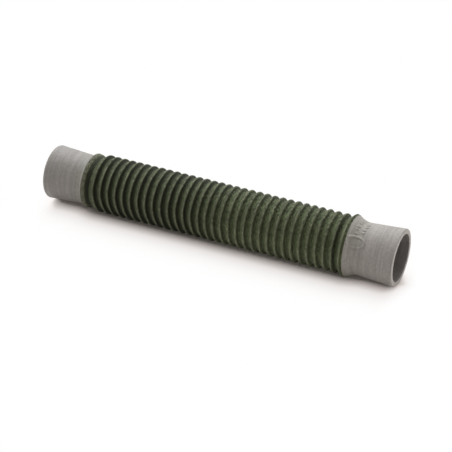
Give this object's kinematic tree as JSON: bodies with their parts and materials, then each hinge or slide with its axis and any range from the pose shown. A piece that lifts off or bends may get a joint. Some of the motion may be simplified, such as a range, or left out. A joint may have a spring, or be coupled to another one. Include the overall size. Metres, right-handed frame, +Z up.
{
  "type": "breathing hose",
  "caption": "Short corrugated breathing hose with a knit-faced green wall and a soft grey rubber cuff moulded on each end.",
  "frame": {"origin": "on the floor under the middle of the hose's length, centred across it", "axes": "+X along the hose towards the end with the larger cuff, +Z up from the floor that the hose lies on"},
  "size_m": [0.176, 0.029, 0.028],
  "materials": {
    "green_hose_rubber": "matte rubber with a fine knitted face",
    "grey_cuff_rubber": "satin moulded rubber"
  },
  "bodies": {
    "root": {"corrugated_hose": "green_hose_rubber", "left_end_cuff": "grey_cuff_rubber", "right_end_cuff": "grey_cuff_rubber"}
  },
  "joints": []
}
